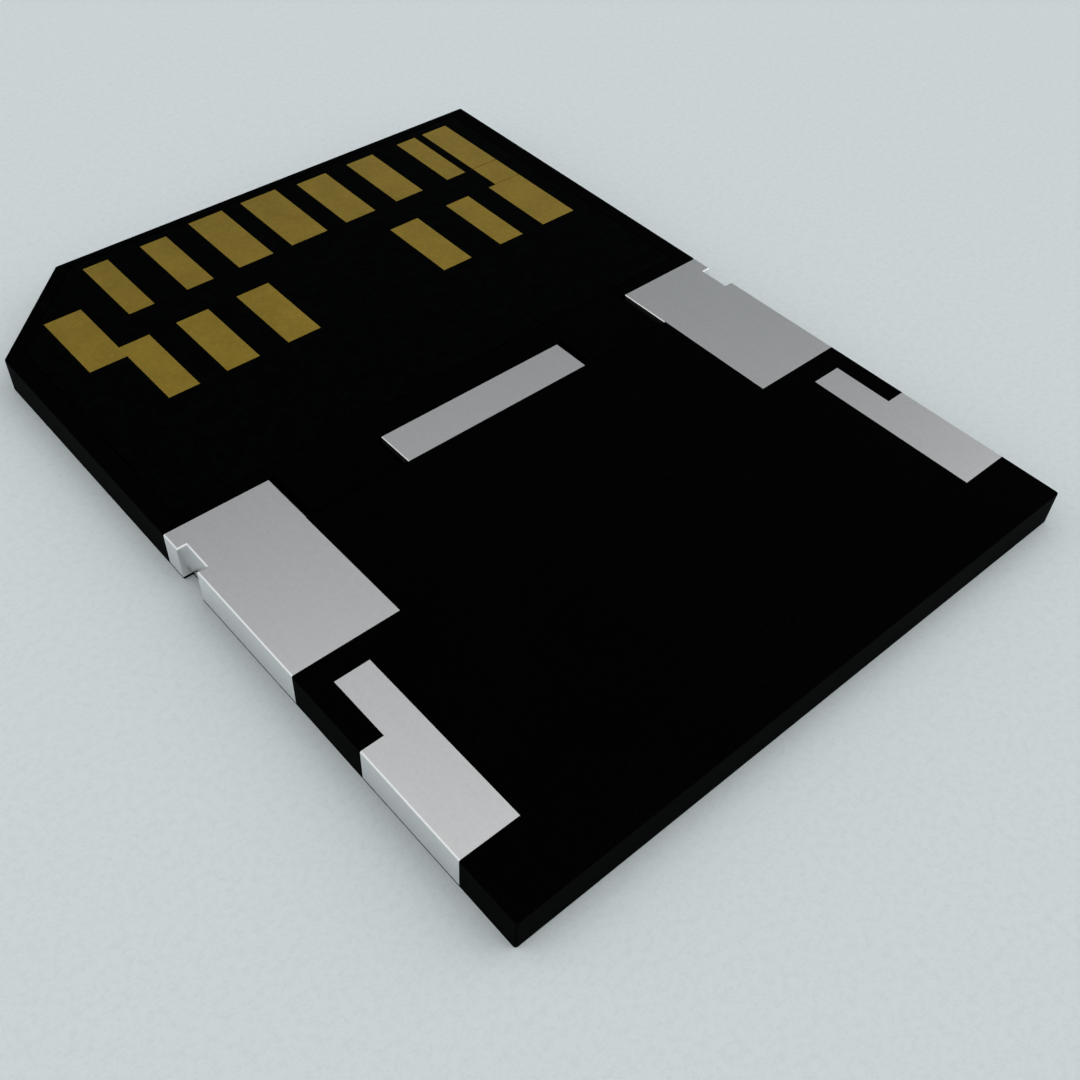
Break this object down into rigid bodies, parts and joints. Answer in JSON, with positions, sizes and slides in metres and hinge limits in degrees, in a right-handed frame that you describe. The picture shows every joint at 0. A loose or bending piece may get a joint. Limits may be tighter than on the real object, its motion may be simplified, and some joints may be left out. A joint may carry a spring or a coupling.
{
  "type": "reduced-size multimedia card",
  "caption": "Thin reduced-size memory card with gold contacts and one cut corner, clipped into a plastic and sheet-metal adapter that makes it full size and lifts off.",
  "frame": {"origin": "middle of the label side of card and adapter together, on the surface they lie on", "axes": "+Y towards the contact end, +Z out of the contact side, +X to the right seen from above with the contact end up; the cut corner is at -X +Y"},
  "size_m": [0.024, 0.032, 0.0014],
  "materials": {
    "card_plastic": "fine spark-eroded black moulding",
    "adapter_plastic": "fine spark-eroded black moulding",
    "board_mask": "black solder mask",
    "gold_contact": "hard gold plating, satin",
    "sheet_metal": "cold-rolled stainless sheet, satin",
    "chip_package": "moulded epoxy",
    "chip_part": "fired ceramic with tinned ends"
  },
  "bodies": {
    "card": {"card_frame": "card_plastic", "card_cover": "card_plastic", "circuit_board": "board_mask", "contact_1": "gold_contact", "contact_2": "gold_contact", "contact_3": "gold_contact", "contact_4": "gold_contact", "contact_5": "gold_contact", "contact_6": "gold_contact", "contact_7": "gold_contact", "contact_8": "gold_contact", "contact_9": "gold_contact", "contact_10": "gold_contact", "contact_11": "gold_contact", "contact_12": "gold_contact", "contact_13": "gold_contact", "memory_chip": "chip_package", "controller_chip": "chip_package", "capacitor_1": "chip_part", "capacitor_2": "chip_part", "capacitor_3": "chip_part", "resistor_1": "chip_part", "resistor_2": "chip_part", "resistor_3": "chip_part", "resistor_4": "chip_part"},
    "adapter": {"adapter_body": "adapter_plastic", "left_rail": "sheet_metal", "right_rail": "sheet_metal", "centre_latch": "sheet_metal"}
  },
  "joints": [
    {"name": "adapter_lift", "type": "slide", "parent": "card", "child": "adapter", "axis": [0, 0, 1], "range_m": [0, 0.005]}
  ]
}
